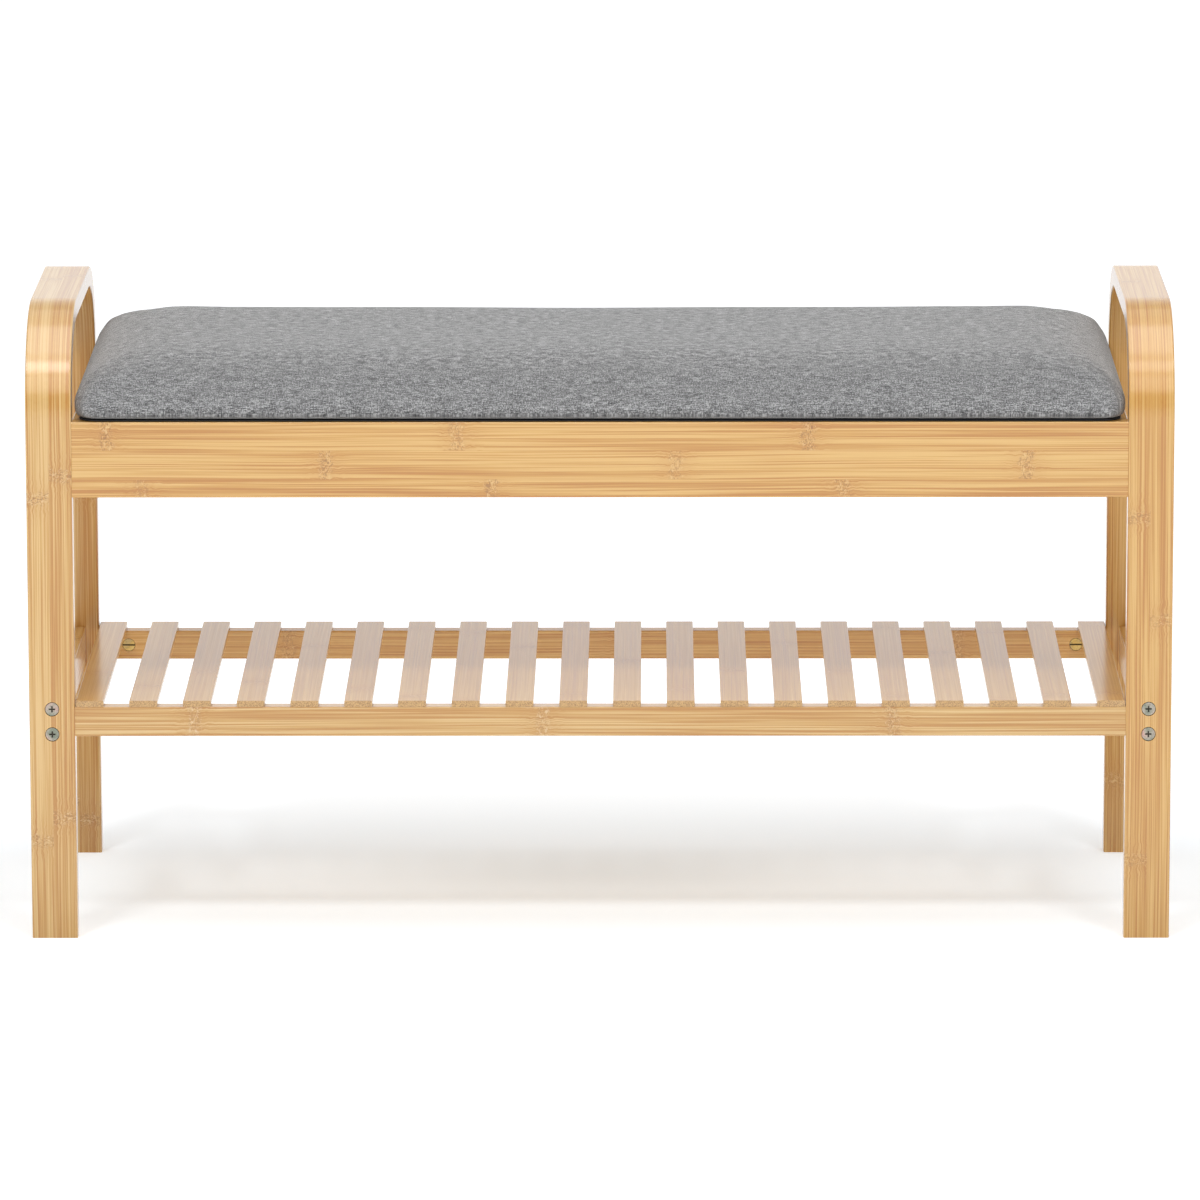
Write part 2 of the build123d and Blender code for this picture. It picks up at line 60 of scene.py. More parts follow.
BEND_RADIUS = 82 * MM                       # outside of the arch frames' bends
BEND_Y = ARCH_HIGH.y - BEND_RADIUS          # centre of a bend, from the middle of the bench
BEND_Z = ARCH_HIGH.z - BEND_RADIUS
STRIP_THICKNESS = 16 * MM
BEND_MIDDLE_RADIUS = BEND_RADIUS - STRIP_THICKNESS / 2


# ---- Shader graphs -----------------------------------------------------------------------------------

MIX_FIRST = 6                   # where a mix node keeps its two colours
MIX_SECOND = 7
MIX_RESULT = 2                  # and the mixed colour


class Graph:
    """A material's node tree, with a short call for each kind of node used here."""

    def __init__(self, name):
        self.material = bpy.data.materials.new(name)
        self.material.use_nodes = True
        self.tree = self.material.node_tree
        self.tree.nodes.clear()

    def node(self, kind, **settings):
        made = self.tree.nodes.new(kind)
        for key, value in settings.items():
            setattr(made, key, value)
        return made

    def feed(self, socket, value):
        """Links an output to a socket, or sets the socket to a constant."""
        if isinstance(value, bpy.types.NodeSocket):
            self.tree.links.new(value, socket)
        else:
            socket.default_value = value

    def position(self):
        """The point on the piece, in metres, as X, Y and Z outputs."""
        coordinates = self.node("ShaderNodeTexCoord")
        split = self.node("ShaderNodeSeparateXYZ")
        self.feed(split.inputs[0], coordinates.outputs["Object"])
        return split.outputs

    def facing(self):
        """The surface's own direction, as X, Y and Z outputs."""
        coordinates = self.node("ShaderNodeTexCoord")
        split = self.node("ShaderNodeSeparateXYZ")
        self.feed(split.inputs[0], coordinates.outputs["Normal"])
        return split.outputs

    def math(self, operation, first, second=0.0, third=0.0):
        made = self.node("ShaderNodeMath", operation=operation)
        for socket, value in zip(made.inputs, (first, second, third)):
            self.feed(socket, value)
        return made.outputs[0]

    def vector(self, x, y, z):
        made = self.node("ShaderNodeCombineXYZ")
        for socket, value in zip(made.inputs, (x, y, z)):
            self.feed(socket, value)
        return made.outputs[0]

    def stretched(self, point, scales):
        """The vector of three coordinates, each multiplied by its own scale."""
        scaled = [self.math("MULTIPLY", value, scale) for value, scale in zip(point, scales)]
        return self.vector(*scaled)

    def noise(self, vector, detail=2.0, roughness=0.5, distortion=0.0):
        made = self.node("ShaderNodeTexNoise")
        self.feed(made.inputs["Vector"], vector)
        made.inputs["Scale"].default_value = 1.0
        made.inputs["Detail"].default_value = detail
        made.inputs["Roughness"].default_value = roughness
        made.inputs["Distortion"].default_value = distortion
        return made.outputs["Fac"]

    def weighted(self, *layers):
        """The sum of several (value, share) layers, each value times its share."""
        total = 0.0
        for value, share in layers:
            total = self.math("MULTIPLY_ADD", value, share, total)
        return total

    def random(self, value):
        """A steady random number from 0 to 1 for each different value."""
        made = self.node("ShaderNodeTexWhiteNoise", noise_dimensions="1D")
        self.feed(made.inputs["W"], value)
        return made.outputs["Value"]

    def remap(self, value, low, high, new_low=0.0, new_high=1.0, smooth=False):
        made = self.node("ShaderNodeMapRange")
        made.interpolation_type = "SMOOTHSTEP" if smooth else "LINEAR"
        for socket, given in zip(made.inputs[:5], (value, low, high, new_low, new_high)):
            self.feed(socket, given)
        return made.outputs[0]

    def ramp(self, value, stops):
        """A colour ramp through (position, colour) stops."""
        made = self.node("ShaderNodeValToRGB")
        self.feed(made.inputs[0], value)
        elements = made.color_ramp.elements
        while len(elements) < len(stops):
            elements.new(0.5)
        for element, (place, colour) in zip(elements, stops):
            element.position = place
            element.color = (*colour, 1.0)
        return made.outputs[0]

    def mix(self, factor, first, second, blend="MIX"):
        made = self.node("ShaderNodeMix", data_type="RGBA", blend_type=blend)
        self.feed(made.inputs[0], factor)
        for place, value in ((MIX_FIRST, first), (MIX_SECOND, second)):
            colour = value if isinstance(value, bpy.types.NodeSocket) else (*value, 1.0)
            self.feed(made.inputs[place], colour)
        return made.outputs[MIX_RESULT]

    def bump(self, height, depth):
        made = self.node("ShaderNodeBump")
        made.inputs["Strength"].default_value = 1.0
        made.inputs["Distance"].default_value = depth
        self.feed(made.inputs["Height"], height)
        return made.outputs[0]

    def surface(self, colour, roughness, normal=None, **constants):
        """Ends the graph in a Principled shader; the constants go on its own sockets."""
        shader = self.node("ShaderNodeBsdfPrincipled")
        self.feed(shader.inputs["Base Color"], colour)
        self.feed(shader.inputs["Roughness"], roughness)
        if normal is not None:
            self.feed(shader.inputs["Normal"], normal)
        for key, value in constants.items():
            self.feed(shader.inputs[key.replace("_", " ").title().replace("Ior", "IOR")], value)
        end = self.node("ShaderNodeOutputMaterial")
        self.feed(end.inputs[0], shader.outputs[0])
        return self.material


# ---- Bamboo ------------------------------------------------------------------------------------------

BAMBOO_LIGHT = (0.68, 0.44, 0.165)
BAMBOO_MIDDLE = (0.575, 0.32, 0.075)
BAMBOO_DARK = (0.465, 0.195, 0.022)
BAMBOO_STOPS = [(0.41, BAMBOO_DARK), (0.49, BAMBOO_MIDDLE), (0.57, BAMBOO_LIGHT)]
END_GRAIN_STOPS = [(0.35, (0.33, 0.17, 0.05)), (0.6, (0.60, 0.37, 0.14))]
KNUCKLE_BROWN = (0.27, 0.11, 0.022)
KNUCKLE_PALE = (0.74, 0.55, 0.30)
BAMBOO_ROUGHNESS = (0.36, 0.46)
BAMBOO_RELIEF = 0.05 * MM

# How fine each noise of the figure is: features per metre along the grain, across it and through it.
FINE_FIBRES = (5, 820, 820)
STREAKS = (4, 400, 400)
BROAD_STREAKS = (3, 90, 90)
WANDERING = (3, 9, 9)
SWIRLS = (150, 160, 160)
RAGGED_EDGE = (30, 260, 260)
SQUIGGLES = (520, 300, 300)
FIBRE_ENDS = (1500, 1500, 1500)

FINE_SHARE = 0.58               # shares of the figure
STREAK_SHARE = 0.30
BROAD_SHARE = 0.12
STRIP_TONE = 0.07               # how much strips differ in brightness
STRIP_STEP = 0.37               # metres from one strip's place in the noise to the next one's
WANDER_SHIFT = 5 * MM           # how far fibres stray to the side, and how far beside a knuckle
SWIRL_SHIFT = 6 * MM

KNUCKLE_SPACING = 275 * MM      # between the culm's knuckles along one strip
KNUCKLE_SEED = 31.7             # sets a strip's knuckles apart from its tone
KNUCKLE_SLIDE = 7.0             # spacings by which a strip's knuckles may be moved along it
KNUCKLE_RAGGED = 12 * MM
KNUCKLE_CORE = 3 * MM           # from a knuckle's middle: full marks, no marks, no halo
KNUCKLE_EDGE = 7 * MM
KNUCKLE_HALO = 26 * MM
KNUCKLE_STRENGTH = (0.35, 0.95)
HALO_DARKNESS = 0.25
MARK_DARKNESS = 0.8
FLECK_PALENESS = 0.6

GLUE_LINE = 0.5 * MM            # half its width
GLUE_DARKNESS = 0.28
FOOT_HEIGHT = 5 * MM            # the end grain of a bent piece shows only below this height


def straight_grain(graph, grain):
    """Coordinates along the grain, across the face and through it, for a straight board."""
    x, y, z = graph.position()
    return (x, z, y) if grain == "X" else (y, z, x)


def slat_grain(graph):
    """The same for the shelf's slats, whose faces lie flat."""
    x, y, z = graph.position()
    return y, x, z


def bent_grain(graph):
    """The same for an arch frame, following its one strip up a leg, round both bends and down."""
    x, y, z = graph.position()
    outwards = graph.math("ABSOLUTE", y)
    past_y = graph.math("MAXIMUM", graph.math("SUBTRACT", outwards, BEND_Y), 0.0)
    past_z = graph.math("MAXIMUM", graph.math("SUBTRACT", z, BEND_Z), 0.0)
    turn = graph.math("ARCTAN2", past_z, past_y)
    up_leg = graph.math("MINIMUM", z, BEND_Z)
    along_arm = graph.math("SUBTRACT", BEND_Y, graph.math("MINIMUM", outwards, BEND_Y))
    half = graph.math("ADD", graph.math("MULTIPLY_ADD", turn, BEND_MIDDLE_RADIUS, up_leg), along_arm)
    whole = 2 * (BEND_Z + BEND_MIDDLE_RADIUS * math.pi / 2 + BEND_Y)
    rear = graph.math("GREATER_THAN", y, 0.0)
    other_way = graph.math("MULTIPLY", rear, graph.math("MULTIPLY_ADD", half, -2.0, whole))
    along = graph.math("ADD", half, other_way)
    depth = graph.math("SQRT", graph.math("ADD", graph.math("POWER", past_y, 2.0),
                                          graph.math("POWER", past_z, 2.0)))
    return along, x, depth


def grain_point(graph, grain):
    """The coordinates that suit a piece's grain: X, Y, slat or bent."""
    if grain == "bent":
        return bent_grain(graph)
    if grain == "slat":
        return slat_grain(graph)
    return straight_grain(graph, grain)


def knuckles(graph, point, layer):
    """A knuckle's narrow band, the wider halo round it and how strong this one is, each from 0 to 1."""
    start = graph.random(graph.math("ADD", layer, KNUCKLE_SEED))
    turns = graph.math("ADD", graph.math("DIVIDE", point[0], KNUCKLE_SPACING),
                       graph.math("MULTIPLY", start, KNUCKLE_SLIDE))
    middle = graph.math("SUBTRACT", graph.math("FRACT", turns), 0.5)
    from_knuckle = graph.math("MULTIPLY", middle, KNUCKLE_SPACING)
    # Its line across the strip is ragged.
    ragged = graph.math("SUBTRACT", graph.noise(graph.stretched(point, RAGGED_EDGE)), 0.5)
    signed = graph.math("MULTIPLY_ADD", ragged, KNUCKLE_RAGGED, from_knuckle)
    distance = graph.math("ABSOLUTE", signed)
    band = graph.remap(distance, KNUCKLE_CORE, KNUCKLE_EDGE, 1.0, 0.0, smooth=True)
    halo = graph.remap(distance, 0.0, KNUCKLE_HALO, 1.0, 0.0, smooth=True)
    each = graph.random(graph.math("ADD", graph.math("FLOOR", turns), layer))
    strength = graph.remap(each, 0.0, 1.0, *KNUCKLE_STRENGTH)
    return band, halo, strength


def fibres_of(graph, point, layer, halo):
    """The finest fibres, and the whole figure that they are part of."""
    along, across, through = point
    # Both swirl where they pass a knuckle, and wander a little everywhere.
    swirl = graph.math("SUBTRACT", graph.noise(graph.stretched(point, SWIRLS)), 0.5)
    wander = graph.math("SUBTRACT", graph.noise(graph.stretched(point, WANDERING), detail=1.0), 0.5)
    swirl_shift = graph.math("MULTIPLY", swirl, graph.math("MULTIPLY", halo, SWIRL_SHIFT))
    shift = graph.math("MULTIPLY_ADD", wander, WANDER_SHIFT, swirl_shift)
    step = graph.math("MULTIPLY", layer, STRIP_STEP)
    side = graph.math("ADD", graph.math("ADD", across, shift), step)
    shifted = (along, side, through)
    fine = graph.noise(graph.stretched(shifted, FINE_FIBRES), roughness=0.65)
    streaks = graph.noise(graph.stretched(shifted, STREAKS), roughness=0.6)
    broad = graph.noise(graph.stretched(shifted, BROAD_STREAKS))
    tone = graph.math("SUBTRACT", graph.random(layer), 0.5)
    figure = graph.weighted((fine, FINE_SHARE), (streaks, STREAK_SHARE), (broad, BROAD_SHARE),
                            (tone, STRIP_TONE))
    return fine, figure


def glue_line(graph, across, strip_width, strip_start):
    """How much darker a point is for the thin line where two strips are glued together."""
    place = graph.math("DIVIDE", graph.math("SUBTRACT", across, strip_start), strip_width)
    turned = graph.math("FRACT", graph.math("ADD", place, 0.5))
    to_joint = graph.math("ABSOLUTE", graph.math("SUBTRACT", turned, 0.5))
    return graph.remap(to_joint, 0.0, GLUE_LINE / strip_width, GLUE_DARKNESS, 0.0)


def end_grain(graph, grain, colour):
    """The darker, dotted ends of the fibres over a piece's colour, where the surface cuts across them."""
    facing = graph.facing()
    end_axis = {"X": facing[0], "Y": facing[1], "slat": facing[1], "bent": facing[2]}[grain]
    ends = graph.remap(graph.math("ABSOLUTE", end_axis), 0.8, 0.95)
    if grain == "bent":
        feet = graph.math("LESS_THAN", graph.position()[2], FOOT_HEIGHT)
        ends = graph.math("MULTIPLY", ends, feet)
    dots = graph.noise(graph.stretched(graph.position(), FIBRE_ENDS), detail=1.0)
    return graph.mix(ends, colour, graph.ramp(dots, END_GRAIN_STOPS))


def knuckle_marks(graph, point, band, strength):
    """The brown squiggles across a knuckle and the pale flecks between them, each from 0 to 1."""
    squiggle = graph.noise(graph.stretched(point, SQUIGGLES), roughness=0.6, distortion=1.4)
    marks = graph.math("MULTIPLY", graph.math("MULTIPLY", band, strength),
                       graph.remap(squiggle, 0.50, 0.62))
    flecks = graph.math("MULTIPLY", band, graph.remap(squiggle, 0.45, 0.36))
    return marks, flecks


def bamboo(name, grain, strip_width, strip_start, seed, lacquer=1.0, warmth=0.0, figure=1.0):
    """Laminated bamboo: strips side by side, fine fibres along them, and a knuckle now and then.

    Warmth takes away blue, and figure is how much the fibres and knuckles stand out.
    """
    graph = Graph(name)
    point = grain_point(graph, grain)
    from_start = graph.math("SUBTRACT", point[1], strip_start)
    strip = graph.math("FLOOR", graph.math("DIVIDE", from_start, strip_width))
    layer = graph.math("ADD", strip, seed)
    band, halo, strength = knuckles(graph, point, layer)
    fine, fibres = fibres_of(graph, point, layer, halo)
    fibres = graph.remap(fibres, 0.0, 1.0, 0.5 - 0.5 * figure, 0.5 + 0.5 * figure)
    colour = graph.ramp(fibres, BAMBOO_STOPS)
    marks, flecks = knuckle_marks(graph, point, band, strength)
    joint = glue_line(graph, point[1], strip_width, strip_start)
    for amount, share, other in ((halo, HALO_DARKNESS, BAMBOO_DARK),
                                 (marks, MARK_DARKNESS * figure, KNUCKLE_BROWN),
                                 (flecks, FLECK_PALENESS * figure, KNUCKLE_PALE),
                                 (joint, 1.0, BAMBOO_DARK)):
        colour = graph.mix(graph.math("MULTIPLY", amount, share), colour, other)
    colour = end_grain(graph, grain, colour)
    tint = (1.0, 1.0 - 0.05 * warmth, 1.0 - 0.2 * warmth)
    colour = graph.mix(1.0, colour, tint, blend="MULTIPLY")
    roughness = graph.remap(fine, 0.3, 0.7, *BAMBOO_ROUGHNESS)
    relief = graph.bump(graph.math("MULTIPLY_ADD", marks, -1.5, fine), BAMBOO_RELIEF)
    return graph.surface(colour, roughness, relief, coat_weight=lacquer, coat_roughness=0.18,
                         coat_ior=1.55)


VENEER_FIGURE = (5, 160, 900)   # features per metre along X, Y and Z
VENEER_PORES = (40, 1800, 1800)


def plywood(name, light, dark):
    """A veneered sheet with fine figure along X."""
    graph = Graph(name)
    point = graph.position()
    figure = graph.noise(graph.stretched(point, VENEER_FIGURE), detail=4.0, roughness=0.6,
                         distortion=0.4)
    pores = graph.noise(graph.stretched(point, VENEER_PORES))
    shade = graph.weighted((figure, 0.75), (pores, 0.25))
    colour = graph.ramp(shade, [(0.32, dark), (0.66, light)])
    roughness = graph.remap(pores, 0.3, 0.7, 0.5, 0.62)
    return graph.surface(colour, roughness, graph.bump(figure, 0.05 * MM))


# ---- Metal -------------------------------------------------------------------------------------------

# The colour of the grime specks, and of the shade painted into the heads' recesses.
GRIME_AND_RECESS_SHADE = (0.035, 0.025, 0.018)
TINTS = [1 / (14 * MM)] * 3     # features per metre along X, Y and Z, of the plating's tint
SPECKS = (900, 900, 900)        # and of the grime on it
RECESS_SHADE_TOP = 0.4 * MM           # painted shade fills a recess from here below a head's face
RECESS_SHADE_FULL = 0.9 * MM


def plated(name, colours, roughness, face=None):
    """Plated steel whose tint changes slowly.

    Where face gives an axis and how far out along it the heads' faces lie, their recesses are painted
    dark with shade.
    """
    graph = Graph(name)
    point = graph.position()
    tint = graph.noise(graph.stretched(point, TINTS), detail=1.0)
    grime = graph.noise(graph.stretched(point, SPECKS), detail=3.0)
    low, middle, high = colours
    colour = graph.ramp(tint, [(0.38, low), (0.5, middle), (0.62, high)])
    colour = graph.mix(graph.remap(grime, 0.5, 0.8, 0.0, 0.5), colour, GRIME_AND_RECESS_SHADE)
    # Shade is painted into the recesses below the heads' faces.
    if face:
        axis, reach = face
        outwards = graph.math("ABSOLUTE", point["XYZ".index(axis)])
        depth = graph.math("ABSOLUTE", graph.math("SUBTRACT", reach, outwards))
        recess_shade = graph.remap(depth, RECESS_SHADE_TOP, RECESS_SHADE_FULL, 0.0, 0.9)
        colour = graph.mix(recess_shade, colour, GRIME_AND_RECESS_SHADE)
    rough = graph.remap(grime, 0.3, 0.8, roughness, roughness + 0.18)
    return graph.surface(colour, rough, graph.bump(grime, 0.02 * MM), metallic=0.9)


# ---- Fabric ------------------------------------------------------------------------------------------

THREAD = 0.85 * MM              # spacing of the cover's threads
YARN_DARK = (0.065, 0.065, 0.066)
YARN_MIDDLE = (0.242, 0.242, 0.244)
YARN_LIGHT = (0.59, 0.59, 0.593)
YARN_STOPS = [(0.42, YARN_DARK), (0.50, YARN_MIDDLE), (0.575, YARN_LIGHT)]
# The layers of the cloth's pattern: features per metre along X and across, a place in the noise that
# keeps them from repeating each other, detail, roughness and share of the whole.
WEAVE = ((150, 1 / THREAD, 0.0, 3.0, 0.75, 0.34),      # weft
         (1 / THREAD, 190, 7.0, 3.0, 0.75, 0.22),      # warp
         (900, 1000, 3.0, 1.0, 0.5, 0.26),             # specks
         (170, 420, 5.0, 2.0, 0.5, 0.10),              # slubs
         (55, 140, 11.0, 2.0, 0.5, 0.08))              # patches
TOP_FLECKS = (120, 240, 1)
TOP_FACING = (0.75, 0.99)       # Z of the surface's direction where the painted relief shading of these flecks starts and is full
TOP_FLECK_SHARE = 0.48
HEM_SHADE_HEIGHT = 10 * MM            # where the painted hem shade ends, above the pad's underside
# How dark the painted shade along the hem gets.
HEM_SHADE_DARKNESS = 0.52
CLOTH_RELIEF = 0.4 * MM
DIMPLE_SPACING = 2.2 * MM       # of the dust cover's weld dimples
DUST_STOPS = [(0.35, (0.003, 0.003, 0.004)), (0.7, (0.016, 0.016, 0.017))]
DUST_HAIRS = (700, 700, 700)
DUST_RELIEF = 0.12 * MM


def rows(graph, place, spacing):
    """Rounded rows side by side, from 0 between two of them to 1 on top of one."""
    turn = graph.math("MULTIPLY", place, math.pi / spacing)
    return graph.math("ABSOLUTE", graph.math("SINE", turn))


def linen(name):
    """Heathered linen-look cloth: uneven grey yarns in a plain weave, with longer slubs along X."""
    graph = Graph(name)
    cloth = graph.node("ShaderNodeAttribute", attribute_name="cloth")
    split = graph.node("ShaderNodeSeparateXYZ")
    graph.feed(split.inputs[0], cloth.outputs["Vector"])
    u, v = split.outputs[0], split.outputs[1]
    layers = []
    for along, across, place, detail, roughness, share in WEAVE:
        point = graph.vector(graph.math("MULTIPLY", u, along), graph.math("MULTIPLY", v, across), place)
        layers.append((graph.noise(point, detail=detail, roughness=roughness), share))
    weave = graph.weighted(*layers)
    # Longer, flatter flecks are painted in where the cloth lies flat on top: yarn flecks, with the relief
    # shading and sheen that the light brings out there.
    flecks = graph.noise(graph.stretched((u, v, 0.0), TOP_FLECKS), detail=4.0, roughness=0.85)
    painted_top_relief = graph.remap(graph.facing()[2], *TOP_FACING, 0.0, TOP_FLECK_SHARE)
    weave = graph.math("MULTIPLY_ADD", graph.math("SUBTRACT", flecks, 0.5), painted_top_relief, weave)
    colour = graph.ramp(weave, YARN_STOPS)
    # Shade is painted along the hem, where the cloth is pulled under the board's edge.
    hem = graph.remap(graph.position()[2], PAD_BOTTOM + 1 * MM, PAD_BOTTOM + HEM_SHADE_HEIGHT,
                      HEM_SHADE_DARKNESS, 1.0)
    colour = graph.mix(1.0, colour, graph.vector(hem, hem, hem), blend="MULTIPLY")
    height = graph.weighted((weave, 0.8), (rows(graph, u, THREAD), 0.5), (rows(graph, v, THREAD), 0.5))
    return graph.surface(colour, 0.92, graph.bump(height, CLOTH_RELIEF), sheen_weight=0.5,
                         sheen_roughness=0.5, specular_ior_level=0.2)


def nonwoven(name):
    """Black spun-bonded sheet with its grid of small weld dimples."""
    graph = Graph(name)
    point = graph.position()
    hairs = graph.noise(graph.stretched(point, DUST_HAIRS), detail=4.0, roughness=0.7)
    turn = 2 * math.pi / DIMPLE_SPACING
    dimple_x = graph.math("SINE", graph.math("MULTIPLY", point[0], turn))
    dimple_y = graph.math("SINE", graph.math("MULTIPLY", point[1], turn))
    dimples = graph.remap(graph.math("MULTIPLY", dimple_x, dimple_y), 0.2, 0.9)
    height = graph.math("MULTIPLY_ADD", dimples, -0.8, hairs)
    return graph.surface(graph.ramp(hairs, DUST_STOPS), 0.85, graph.bump(height, DUST_RELIEF),
                         sheen_weight=0.06)


# ---- Seat pad ----------------------------------------------------------------------------------------

PAD_BOTTOM = COVER_LOW.z + 0.2 * MM
PAD_END = COVER_HIGH.x                      # half the pad's length at its edge
PAD_MIDDLE = (COVER_LOW.y + COVER_HIGH.y) / 2
PAD_SIDE = (COVER_HIGH.y - COVER_LOW.y) / 2
PAD_CORNER = 17 * MM                        # radius of its corners seen from above
CORNER_GROWTH = 0.35                        # of a level's inset is added to its corners' radius
CORNER_STEPS = 10
PAD_EASING = 6 * MM                         # rounding of the edge underneath
# How far each level is drawn in at the ends, at the front and rear, and its height over the underside,
# in millimetres.
PAD_PROFILE = ((4.0, 4.0, 0.0), (1.5, 1.5, 0.4), (0.3, 0.5, 3.0), (-0.3, 0.4, 8.0), (-0.3, 0.6, 13.0),
               (0.2, 1.2, 18.5), (1.0, 2.6, 23.5), (2.8, 5.0, 28.0), (6.5, 8.2, 32.0),
               (11.5, 12.2, 35.5), (18.0, 16.8, 38.5), (26.0, 22.2, 41.0), (34.0, 29.0, 43.0),
               (44.0, 38.0, 44.7), (56.0, 51.0, 46.0), (70.0, 70.0, 46.8), (90.0, 95.0, 47.2))
PAD_VOXEL = 5 * MM

SETTLE_FRAMES = 20
SETTLE_CAP = 1.5 * MM                       # the furthest that any point may move
SETTLE_HELD = 3 * MM                        # points lower than this over the underside stay in place
CLOTH_SETTINGS = {"quality": 6, "mass": 0.3, "tension_stiffness": 12, "compression_stiffness": 12,
                  "shear_stiffness": 6, "bending_stiffness": 0.6, "use_pressure": True,
                  "uniform_pressure_force": 4.0, "vertex_group_mass": "held"}

# The long waves of the cover's unevenness: their lengths along X and Y in metres, and their phases.
SWAY = (((0.31, 9.0), 0.4), ((0.17, 5.0), 1.9), ((0.093, 3.0), 3.1))
RIPPLE = (((0.52, 1.9), 1.1), ((0.23, -0.6), 0.2), ((-0.37, 0.31), 2.6))
RIPPLE_HEIGHT = 0.7 * MM
SADDLE_HEIGHT = 1.2 * MM                    # by which the pad's ends stand over its middle
SADDLE_END = 100 * MM                       # from the pad's ends to where they are that high
TOP_RISE = 40 * MM                          # the top's shape comes in from half this height upwards
# The cover's sides: depth outwards, height over the underside, and how far that height sways.
ROLL = (1.7 * MM, 15 * MM, 2 * MM)
HOLLOW = (-1.9 * MM, 28 * MM, 3 * MM)
BULGE_SPREAD = 5 * MM
END_ROLL = (1.0 * MM, 11 * MM, 9 * MM)      # depth, height and spread, on the ends only
SIDE_BAND = 20 * MM                         # width of the band in which the sides' shape fades inwards
BOARD_TOP = 13 * MM                         # the board's edge is below this height over the underside
EDGE_BAND = PAD_EASING + 4 * MM             # the part of the pad beside that edge

ARCH_GAP = 0.9 * MM                         # kept free between the pad and the arch frames
REAR_OVERHANG = 1.0 * MM                    # the furthest that the pad bulges out over its rear edge
LEAF_ROOM = 2.5 * MM                        # kept free round each hinge leaf under the pad
LEAF_LIFT = 1.4 * MM
CLOTH_BAND = 45 * MM                        # width of the band in which the flat cloth turns down


def rounded_ring(half_x, half_y, radius):
    """Points round a rounded rectangle about the origin."""
    points = []
    for quarter, (sign_x, sign_y) in enumerate(((1, 1), (-1, 1), (-1, -1), (1, -1))):
        for step in range(CORNER_STEPS + 1):
            angle = (quarter + step / CORNER_STEPS) * math.pi / 2
            points.append((sign_x * (half_x - radius) + radius * math.cos(angle),
                           sign_y * (half_y - radius) + radius * math.sin(angle)))
    return points


def outline(x, y):
    """How far points lie outside the pad's outline, and the shortest way out from each, as x and y."""
    past_x = np.abs(x) - (PAD_END - PAD_CORNER)
    past_y = np.abs(y - PAD_MIDDLE) - (PAD_SIDE - PAD_CORNER)
    out_x = np.where((past_x > 0) | (past_x > past_y), 1.0, 0.0) * np.maximum(past_x, 1e-6)
    out_y = np.where((past_y > 0) | (past_y >= past_x), 1.0, 0.0) * np.maximum(past_y, 1e-6)
    length = np.hypot(out_x, out_y)
    distance = np.where(np.maximum(past_x, past_y) > 0, length, np.maximum(past_x, past_y)) - PAD_CORNER
    return distance, np.sign(x) * out_x / length, np.sign(y - PAD_MIDDLE) * out_y / length


def pad_shape():
    """The seat pad before it settles: rings of the profile, closed below and on top."""
    mesh = bmesh.new()
    rings = []
    for end_inset, side_inset, height in PAD_PROFILE:
        radius = PAD_CORNER + CORNER_GROWTH * end_inset * MM
        ring = rounded_ring(PAD_END - end_inset * MM, PAD_SIDE - side_inset * MM, radius)
        rings.append([mesh.verts.new((x, y + PAD_MIDDLE, PAD_BOTTOM + height * MM)) for x, y in ring])
    for lower, upper in zip(rings, rings[1:]):
        for i in range(len(lower)):
            j = (i + 1) % len(lower)
            mesh.faces.new((lower[i], lower[j], upper[j], upper[i]))
    mesh.faces.new(reversed(rings[0]))
    mesh.faces.new(rings[-1])
    data = bpy.data.meshes.new("seat_pad")
    mesh.to_mesh(data)
    mesh.free()
    pad = bpy.data.objects.new("seat_pad", data)
    bpy.context.scene.collection.objects.link(pad)
    return pad


def apply_modifiers(piece):
    """Turns what the modifiers make into the piece's own mesh."""
    graph = bpy.context.evaluated_depsgraph_get()
    made = bpy.data.meshes.new_from_object(piece.evaluated_get(graph))
    piece.modifiers.clear()
    piece.data = made


def remeshed(piece, size):
    """An even skin of small faces over the same shape."""
    remesh = piece.modifiers.new("even", "REMESH")
    remesh.mode = "VOXEL"
    remesh.voxel_size = size
    smooth = piece.modifiers.new("smooth", "SMOOTH")
    smooth.factor = 0.5
    smooth.iterations = 3
    apply_modifiers(piece)


def read_points(data):
    points = np.empty(len(data.vertices) * 3)
    data.vertices.foreach_get("co", points)
    return points.reshape(-1, 3)


def write_points(data, points):
    data.vertices.foreach_set("co", points.ravel())
    data.update()


def settle(pad):
    """Fills the pad out under pressure, as its foam does under the stretched cloth."""
    start = read_points(pad.data)
    held = pad.vertex_groups.new(name="held")
    low = np.nonzero(start[:, 2] < PAD_BOTTOM + SETTLE_HELD)[0]
    held.add([int(i) for i in low], 1.0, "REPLACE")
    cloth = pad.modifiers.new("cloth", "CLOTH")
    for name, value in CLOTH_SETTINGS.items():
        setattr(cloth.settings, name, value)
    cloth.settings.effector_weights.gravity = 0.0
    cloth.point_cache.frame_start = 1
    cloth.point_cache.frame_end = SETTLE_FRAMES
    for step in range(1, SETTLE_FRAMES + 1):
        bpy.context.scene.frame_set(step)
    evaluated = pad.evaluated_get(bpy.context.evaluated_depsgraph_get())
    moved = read_points(evaluated.data) - start
    pad.modifiers.clear()
    pad.vertex_groups.clear()
    length = np.linalg.norm(moved, axis=1, keepdims=True)
    moved *= SETTLE_CAP * np.tanh(length / SETTLE_CAP) / np.maximum(length, 1e-9)
    write_points(pad.data, start + moved)
    bpy.context.scene.frame_set(1)


def waves(x, y, parts):
    """A gentle unevenness: a few long sines over a surface."""
    total = np.zeros_like(x)
    for (length_x, length_y), phase in parts:
        total += np.sin(2 * np.pi * (x / length_x + y / length_y) + phase)
    return total / len(parts)


def hump(height, middle, spread):
    """A smooth hump over a height: 1 at its middle, and nearly nothing at two spreads from it."""
    return np.exp(-((height - middle) / spread) ** 2)


